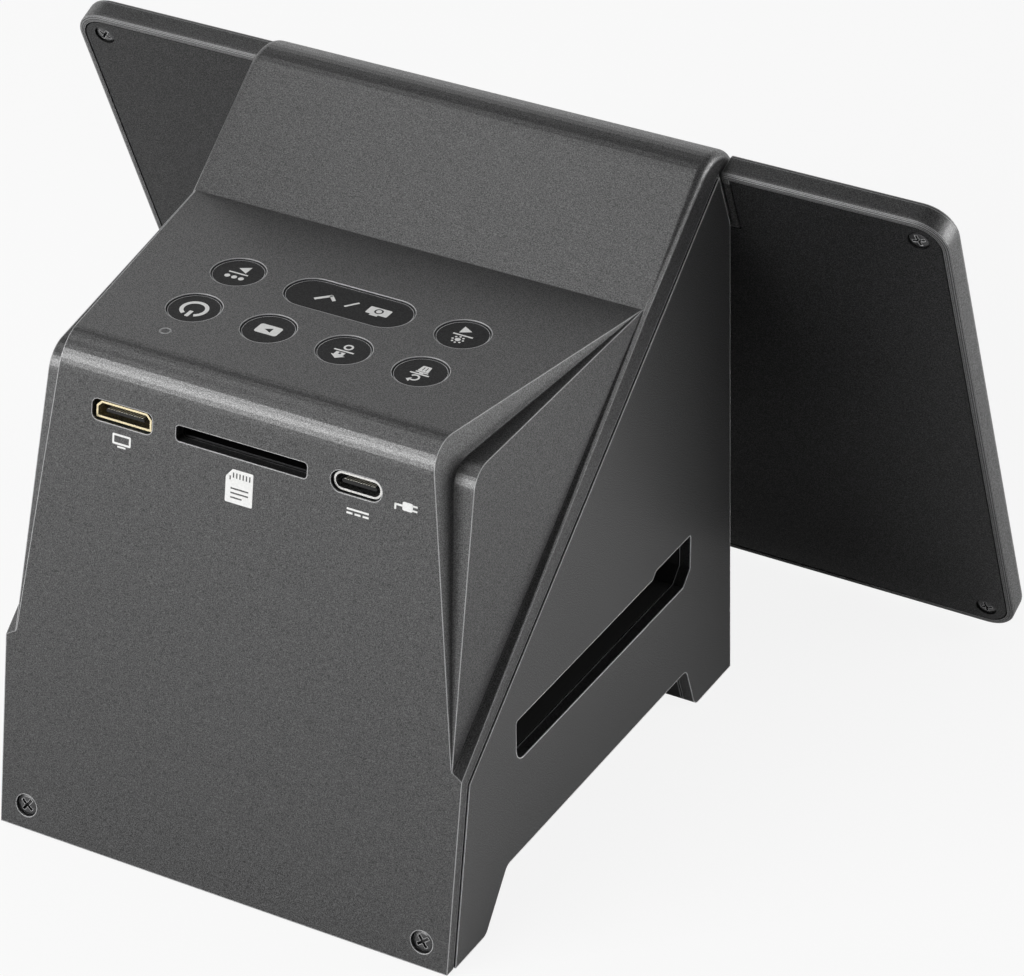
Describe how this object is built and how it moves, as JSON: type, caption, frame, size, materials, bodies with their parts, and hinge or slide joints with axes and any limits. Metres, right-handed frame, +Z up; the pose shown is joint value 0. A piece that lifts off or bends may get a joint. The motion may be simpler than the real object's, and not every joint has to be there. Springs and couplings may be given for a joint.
{
  "type": "film negative scanner",
  "caption": "Wedge-shaped desktop film scanner with a through film slot, button deck, stepped cheeks, rear ports and a wide tilting screen hung in a rounded hood",
  "frame": {"origin": "centre of the footprint on the table, at the underside of the rubber pads", "axes": "X across the body and the screen, -Y towards the screen side, +Z up"},
  "size_m": [0.1728, 0.1422, 0.1097],
  "materials": {
    "shell": "fine satin moulded texture, dark charcoal",
    "cover": "fine satin moulded texture, dark charcoal",
    "base": "plain moulded, near black",
    "rubber": "matte rubber",
    "screw": "zinc-plated steel",
    "dark_screw": "blackened steel",
    "black_inner": "matte black, non-reflecting",
    "white_inner": "matte white",
    "diffuser": "milky, even",
    "board": "green solder mask",
    "lens": "coated optical glass",
    "socket": "folded nickel-plated shell",
    "gold_socket": "gold-plated shell",
    "switch": "black nylon",
    "lamp": "clear light guide",
    "button": "soft satin black",
    "hinge": "pressed steel",
    "bezel": "satin, charcoal",
    "screen_back": "fine moulded texture, charcoal",
    "screen_glass": "polished dark glass",
    "display": "dark frame"
  },
  "bodies": {
    "root": {"side_shell": "shell", "top_rear_cover": "cover", "base_plate": "base", "rubber_pads": "rubber", "base_screws": "screw", "rear_screws": "dark_screw", "film_track": "black_inner", "light_box": "white_inner", "diffuser_plate": "diffuser", "backlight_board": "board", "optics_tower": "black_inner", "lens_barrel": "black_inner", "lens_glass": "lens", "sensor_board": "board", "main_board": "board", "video_socket": "gold_socket", "card_socket": "socket", "power_socket": "socket", "button_board": "board", "button_switches": "switch", "board_screws": "screw", "status_lamp": "lamp", "hinge_bracket_left": "hinge", "hinge_bracket_right": "hinge", "hinge_screws": "screw"},
    "screen": {"hinge_shaft_left": "hinge", "hinge_shaft_right": "hinge", "screen_bezel": "bezel", "screen_rear_cover": "screen_back", "screen_glass": "screen_glass", "display_module": "display", "screen_screws": "dark_screw"},
    "power_button_cap": {"power_button": "button"},
    "gallery_button_cap": {"gallery_button": "button"},
    "home_button_cap": {"home_button": "button"},
    "delete_button_cap": {"delete_button": "button"},
    "capture_button_cap": {"capture_button": "button"},
    "colour_button_cap": {"colour_button": "button"},
    "brightness_button_cap": {"brightness_button": "button"}
  },
  "joints": [
    {"name": "screen_tilt", "type": "hinge", "parent": "root", "child": "screen", "pos_m": [0, -0.02698, 0.10275], "axis": [-1, 0, 0], "range_deg": [0, 45]},
    {"name": "power_press", "type": "slide", "parent": "root", "child": "power_button_cap", "axis": [0, 0, -1], "range_m": [0, 0.0005], "stiffness_N_per_m": 1200, "springref_m": -0.0004},
    {"name": "gallery_press", "type": "slide", "parent": "root", "child": "gallery_button_cap", "axis": [0, 0, -1], "range_m": [0, 0.0005], "stiffness_N_per_m": 1200, "springref_m": -0.0004},
    {"name": "home_press", "type": "slide", "parent": "root", "child": "home_button_cap", "axis": [0, 0, -1], "range_m": [0, 0.0005], "stiffness_N_per_m": 1200, "springref_m": -0.0004},
    {"name": "delete_press", "type": "slide", "parent": "root", "child": "delete_button_cap", "axis": [0, 0, -1], "range_m": [0, 0.0005], "stiffness_N_per_m": 1200, "springref_m": -0.0004},
    {"name": "capture_press", "type": "slide", "parent": "root", "child": "capture_button_cap", "axis": [0, 0, -1], "range_m": [0, 0.0005], "stiffness_N_per_m": 1200, "springref_m": -0.0004},
    {"name": "colour_press", "type": "slide", "parent": "root", "child": "colour_button_cap", "axis": [0, 0, -1], "range_m": [0, 0.0005], "stiffness_N_per_m": 1200, "springref_m": -0.0004},
    {"name": "brightness_press", "type": "slide", "parent": "root", "child": "brightness_button_cap", "axis": [0, 0, -1], "range_m": [0, 0.0005], "stiffness_N_per_m": 1200, "springref_m": -0.0004}
  ]
}
